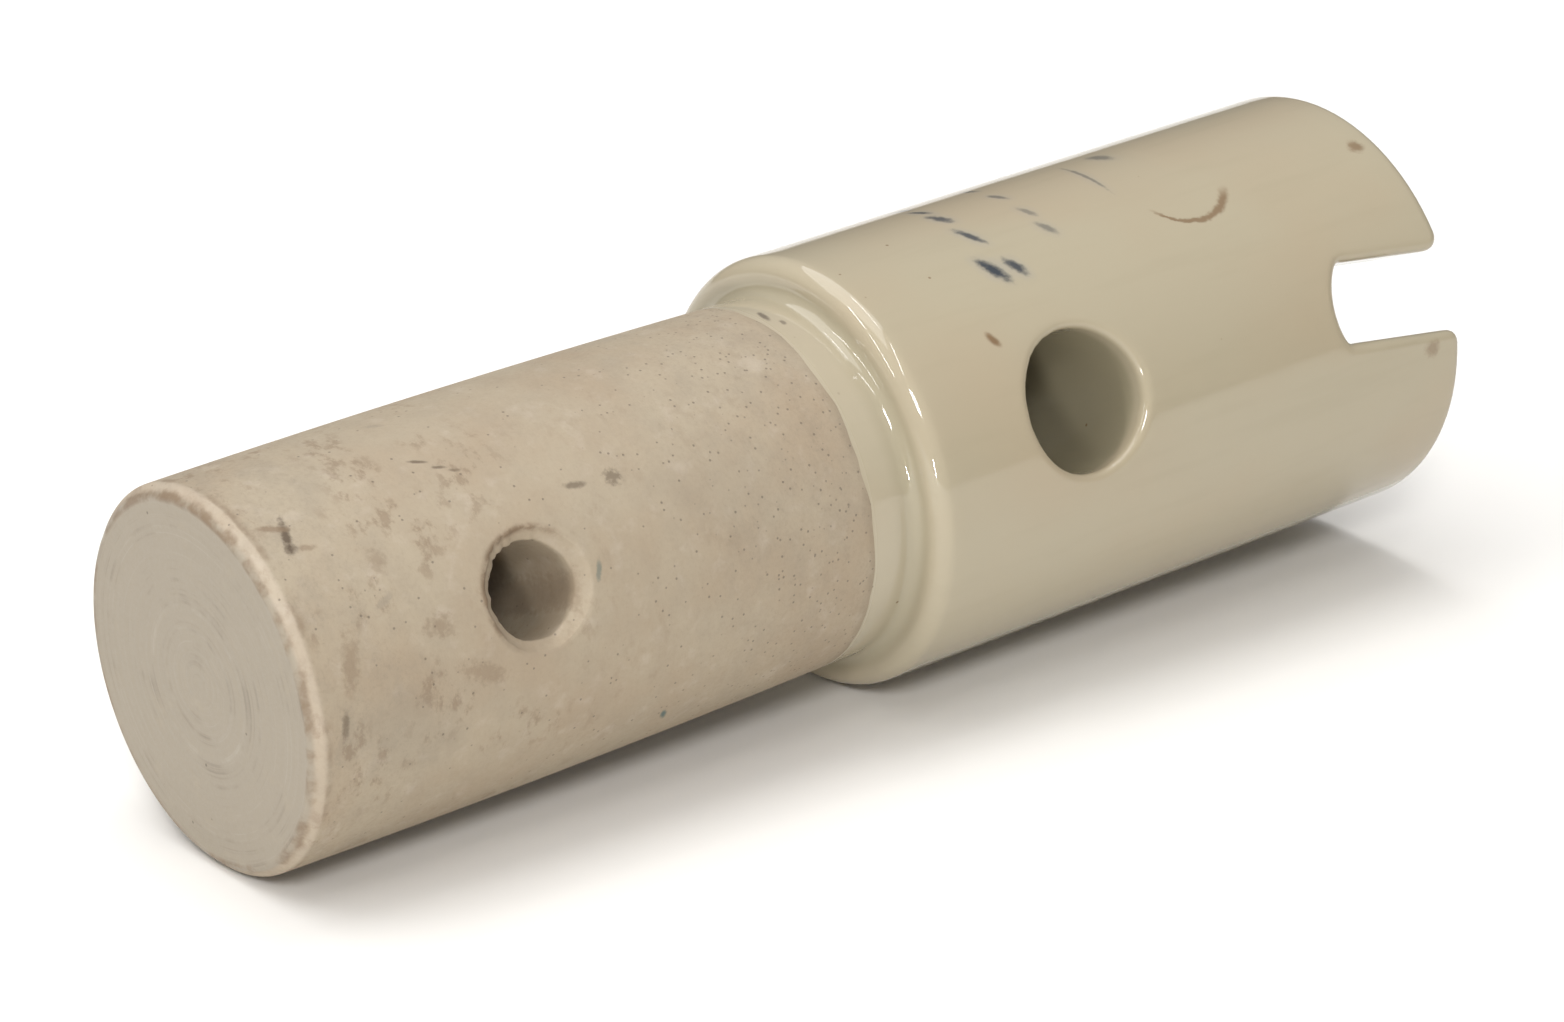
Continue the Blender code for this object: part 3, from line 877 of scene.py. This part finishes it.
def cream_glaze():
    """Clear glossy feldspar glaze, fired cream over the porcelain, pooled in hollows and thin on edges."""
    c, s = colours(), sizes()
    material, tree, shader = new_material("Cream feldspar glaze, glossy")
    here = Surface(tree)
    line = GLAZE_LINE / MM
    root = s.spigot_length / MM

    drift = cloud(tree, stretched(tree, here.where, (0.7, 1.0, 1.0)), 16.0, 2.0, 0.5, 2.0)
    base = tint(tree, fade(tree, drift, 0.38, 0.68), c.glaze, c.glaze_warm)
    # Drawn along the barrel, faint streaks that the dipping left.
    dipped = cloud(tree, stretched(tree, here.where, (0.12, 1.0, 1.0)), 1.6, 2.0, 0.5, 6.0)
    base = tint(tree, fade(tree, dipped, 0.5, 0.75, 0.0, 0.10), base, c.glaze_pool_and_shade)
    fillet = s.root_fillet / MM
    hollow = product(tree, fade(tree, here.along, root - fillet * 2.2, root - fillet * 0.4),
                  fade(tree, here.out, s.spigot_root_radius / MM + 2.0, s.spigot_root_radius / MM + 0.8))
    base = laid(tree, base, c.glaze_pool_and_shade, hollow, 0.75)
    # Painted shade: the glaze darkens and greens with depth into the holes, the slot and the socket, in the
    # pooled glaze's colour.
    painted_bore_shade = fade(tree, here.out, BARREL_RADIUS / MM - 0.9, BARREL_RADIUS / MM - 3.5, 0.0, 0.55)
    painted_bore_shade = product(tree, painted_bore_shade, fade(tree, here.along, root + 3.0, root + 4.0))
    base = tint(tree, painted_bore_shade, base, c.glaze_pool_and_shade)

    # The thin brushed border beside the bare porcelain, paler, duller and speckled.
    pale = fade(tree, here.along, root + 2.5, root - 0.5)
    base = laid(tree, base, c.glaze_border, pale, 0.22)
    border = fade(tree, here.along, line + 1.6, line - 0.2)
    dots = specks(tree, here.where, 1.1, 0.25, 0.16, 5.0)
    base = laid(tree, base, c.speck, dots, border, 0.8)

    # Iron flaws and kiln marks, by their places in millimetres.
    for at, half, tilt, ragged_by, strength, paint in (
            ((59.9, -18.6), (0.35, 1.1), 10.0, 0.8, 0.75, c.speck),
            ((60.6, -16.8), (0.3, 0.5), 0.0, 0.8, 0.6, c.speck),
            ((75.2, -7.8), (0.45, 0.9), -30.0, 0.4, 0.85, c.rust),
            ((125.3, -14.9), (0.9, 0.9), 0.0, 0.7, 0.7, c.rust),
            ((124.2, 6.4), (1.0, 0.8), 0.0, 0.8, 0.5, c.rust)):
        mask = here.rubbed(at, half, tilt, ragged_by, at[0], 0.9)
        base = laid(tree, base, paint, mask, strength)
    arc_mark = here.crescent((104.0, -17.4), 4.9, 0.55, 3.0)
    base = laid(tree, base, c.rust, arc_mark, 0.75)
    # Plain underglaze brush dabs with a faint blue halo, in two loose rows along the top.
    for at, half, tilt, strength in (
            ((80.0, -14.4), (0.75, 1.9), -24.0, 0.95), ((82.3, -14.0), (0.60, 1.4), -24.0, 0.90),
            ((81.2, -19.4), (0.45, 1.8), -20.0, 0.85), ((81.4, -23.6), (0.60, 1.5), -20.0, 0.80),
            ((81.5, -26.6), (0.40, 1.3), -20.0, 0.75), ((81.6, -29.6), (0.45, 1.2), -20.0, 0.70),
            ((88.6, -17.2), (0.50, 1.2), -20.0, 0.50), ((88.8, -20.2), (0.42, 1.1), -20.0, 0.45),
            ((88.9, -24.4), (0.40, 1.1), -20.0, 0.55), ((89.0, -28.4), (0.40, 1.0), -20.0, 0.50),
            ((98.3, -22.8), (0.25, 3.6), 3.0, 0.50), ((102.9, -26.0), (0.8, 1.5), -20.0, 0.50)):
        halo = here.rubbed(at, (half[0] + 0.6, half[1] + 0.6), tilt, 0.4, at[1], 1.2)
        base = laid(tree, base, c.ink_halo, halo, 0.16 * strength)
        stroke = here.rubbed(at, half, tilt, 0.55, at[0], 0.6)
        base = laid(tree, base, c.ink, stroke, strength)
    flecks = specks(tree, here.where, 3.6, 0.22, 0.055, 31.0)
    base = laid(tree, base, c.rust, flecks, 0.7)

    tree.links.new(base, shader.inputs["Base Color"])
    smear = cloud(tree, here.where, 7.0, 3.0, 0.55, 15.0)
    gloss = fade(tree, smear, 0.35, 0.75, 0.035, 0.09)
    gloss = calc(tree, "MAXIMUM", gloss, product(tree, border, 0.35))
    tree.links.new(gloss, shader.inputs["Roughness"])
    shader.inputs["IOR"].default_value = 1.52
    # Slow waves of a dipped glaze, and its faint dimpled skin.
    waves = cloud(tree, stretched(tree, here.where, (0.5, 1.0, 1.0)), 7.0, 1.0, 0.5, 8.0)
    skin = cloud(tree, here.where, 1.3, 1.0, 0.5, 12.0)
    normal = relief(tree, ((waves, 0.12, 0.5), (skin, 0.010, 0.5)))
    tree.links.new(normal, shader.inputs["Normal"])
    return material


def pale_floor():
    """Matt pale paper sweep."""
    material, tree, shader = new_material("Pale matt paper")
    coords = add_node(tree, "TexCoord").outputs["Object"]
    fibre = add_node(tree, "TexNoise", {"Vector": coords, "Scale": 9.0, "Detail": 3.0}).outputs["Fac"]
    paper = colours().floor
    shade = [value * 0.985 for value in paper]
    tree.links.new(tint(tree, fibre, paper, shade), shader.inputs["Base Color"])
    shader.inputs["Roughness"].default_value = 0.9
    return material


# --- Operators ---


class AddPorcelainBody(bpy.types.Operator):
    """Turns the porcelain body, drills its holes, saws its slot and bores its socket"""
    bl_idname = "insulator.add_porcelain_body"
    bl_label = "Porcelain Body"

    def execute(self, context):
        bm = bmesh.new()
        outer_skin(bm)
        layer = bm.faces.layers.int["zone"]
        bmesh.ops.recalc_face_normals(bm, faces=bm.faces)
        bm.normal_update()
        sunk = [v for v in bm.verts if all(f[layer] == GLAZED for f in v.link_faces)]
        moves = [(v, v.normal * -sizes().glaze_depth) for v in sunk]
        for vert, move in moves:
            vert.co += move
        piece = new_piece("fired_porcelain", bm, bare_fired_porcelain())
        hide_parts("porcelain_body")
        return {"FINISHED"}


class AddGlazeCoat(bpy.types.Operator):
    """Lays the glaze over the shoulder, the barrel, its cross hole and the slotted end"""
    bl_idname = "insulator.add_glaze_coat"
    bl_label = "Glaze Coat"

    def execute(self, context):
        bm = bmesh.new()
        outer_skin(bm)
        layer = bm.faces.layers.int["zone"]
        bmesh.ops.recalc_face_normals(bm, faces=bm.faces)
        bare = [f for f in bm.faces if f[layer] == BARE]
        bmesh.ops.delete(bm, geom=bare, context="FACES")
        for edge in bm.edges:
            edge.smooth = not edge.is_boundary
        piece = new_piece("glaze", bm, cream_glaze())
        wall = piece.modifiers.new("Glaze thickness", "SOLIDIFY")
        wall.thickness = sizes().glaze_depth * 0.8
        wall.offset = -1.0
        wall.use_rim = True
        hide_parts("glaze_coat")
        return {"FINISHED"}


def point_at(item, place, target, upright=(0.0, 0.0, 1.0)):
    """Puts a lamp or camera at a place, looking at a target."""
    back = (Vector(place) - Vector(target)).normalized()
    side = Vector(upright).cross(back).normalized()
    turn = Matrix((side, back.cross(side), back)).transposed().to_4x4()
    item.matrix_world = Matrix.Translation(place) @ turn


def soft_box(name, place, target, width, height, watts):
    lamp = bpy.data.lights.new(name, "AREA")
    lamp.shape = "RECTANGLE"
    lamp.size = width
    lamp.size_y = height
    lamp.energy = watts
    item = bpy.data.objects.new(name, lamp)
    bpy.context.scene.collection.objects.link(item)
    point_at(item, place, target)
    return item


def pane(first, last, width, watts):
    """A narrow soft light that spans two directions seen from the insulator."""
    ends = [LIGHT_AIM + Vector(direction).normalized() * PANE_DISTANCE for direction in (first, last)]
    middle = (ends[0] + ends[1]) / 2
    item = soft_box("Pane", middle, LIGHT_AIM, width, (ends[1] - ends[0]).length, watts)
    point_at(item, middle, LIGHT_AIM, ends[1] - ends[0])


LIGHT_AIM = Vector((0.0, 0.0, 0.02))
PANE_DISTANCE = 1.2
FLOOR_TILT = math.radians(2.55)
FLOOR_REACH = 2.2
CAMERA_PLACE = Vector((-0.27138, -0.34335, 0.20495))
CAMERA_AIM = Vector((-0.00197, 0.0, 0.01712))
CAMERA_UP = Vector((0.27349, 0.28753, 0.91789))
CAMERA_LENS = 122.0


class AddStage(bpy.types.Operator):
    """Adds the pale floor, the soft lights and the camera"""
    bl_idname = "insulator.add_stage"
    bl_label = "Stage"

    def execute(self, context):
        scene = context.scene
        bm = bmesh.new()
        bmesh.ops.create_grid(bm, x_segments=24, y_segments=24, size=FLOOR_REACH)
        bmesh.ops.rotate(bm, verts=bm.verts, matrix=Matrix.Rotation(FLOOR_TILT, 3, "Y"))
        mesh = bpy.data.meshes.new("floor")
        bm.to_mesh(mesh)
        bm.free()
        mesh.materials.append(pale_floor())
        floor = bpy.data.objects.new("floor", mesh)
        scene.collection.objects.link(floor)

        world = bpy.data.worlds.new("Studio")
        world.use_nodes = True
        scene.world = world
        tree = world.node_tree
        tree.nodes.clear()
        direction = add_node(tree, "TexCoord").outputs["Generated"]
        height = add_node(tree, "SeparateXYZ", {0: direction}).outputs[2]
        c = colours()
        sky = tint(tree, fade(tree, height, 0.05, 0.75), c.sky_low, c.sky_high)
        background = add_node(tree, "Background", {"Color": sky, "Strength": 0.40})
        add_node(tree, "OutputWorld", {"Surface": background.outputs[0]})

        soft_box("Ceiling", (-0.10, 0.35, 1.4), LIGHT_AIM, 1.5, 1.5, 17.5)
        soft_box("Front left", (-0.62, -0.85, 0.80), LIGHT_AIM, 0.26, 0.26, 7.0)
        # Narrow soft lights, which the shoulder's two rounded edges mirror as split streaks.
        pane((-0.50, 0.24, 0.82), (-0.70, 0.10, 0.70), 0.035, 1.3)
        pane((-0.74, 0.07, 0.67), (-0.92, -0.06, 0.40), 0.035, 1.5)
        pane((0.22, 0.24, 0.94), (0.18, -0.14, 0.97), 0.035, 1.0)
        pane((0.15, -0.30, 0.93), (-0.34, -0.50, 0.79), 0.035, 1.4)
        pane((-0.66, -0.76, 0.16), (-0.70, -0.72, 0.03), 0.06, 4.2)

        lens = bpy.data.cameras.new("Camera")
        lens.lens = CAMERA_LENS
        lens.sensor_width = 36.0
        lens.clip_start = 0.01
        camera = bpy.data.objects.new("Camera", lens)
        scene.collection.objects.link(camera)
        point_at(camera, CAMERA_PLACE, CAMERA_AIM, CAMERA_UP)
        scene.camera = camera
        scene.view_settings.view_transform = "Standard"
        return {"FINISHED"}


class InsulatorPanel(bpy.types.Panel):
    """Lists the insulator's sizes, colours and pieces"""
    bl_idname = "VIEW3D_PT_insulator"
    bl_label = "Porcelain Insulator"
    bl_space_type = "VIEW_3D"
    bl_region_type = "UI"
    bl_category = "Insulator"

    def draw(self, context):
        layout = self.layout
        for group in (context.scene.insulator_sizes, context.scene.insulator_colours):
            column = layout.column(align=True)
            for name in type(group).__annotations__:
                column.prop(group, name)
        for operator in (AddPorcelainBody, AddGlazeCoat, AddStage):
            layout.operator(operator.bl_idname)


CLASSES = (InsulatorSizes, InsulatorColours, AddPorcelainBody, AddGlazeCoat, AddStage, InsulatorPanel)


def register():
    for item in CLASSES:
        bpy.utils.register_class(item)
    bpy.types.Scene.insulator_sizes = PointerProperty(type=InsulatorSizes)
    bpy.types.Scene.insulator_colours = PointerProperty(type=InsulatorColours)


def unregister():
    del bpy.types.Scene.insulator_colours
    del bpy.types.Scene.insulator_sizes
    for item in reversed(CLASSES):
        bpy.utils.unregister_class(item)


def main():
    register()
    bpy.ops.insulator.add_porcelain_body()
    bpy.ops.insulator.add_glaze_coat()
    bpy.ops.insulator.add_stage()


if __name__ == "__main__":
    main()
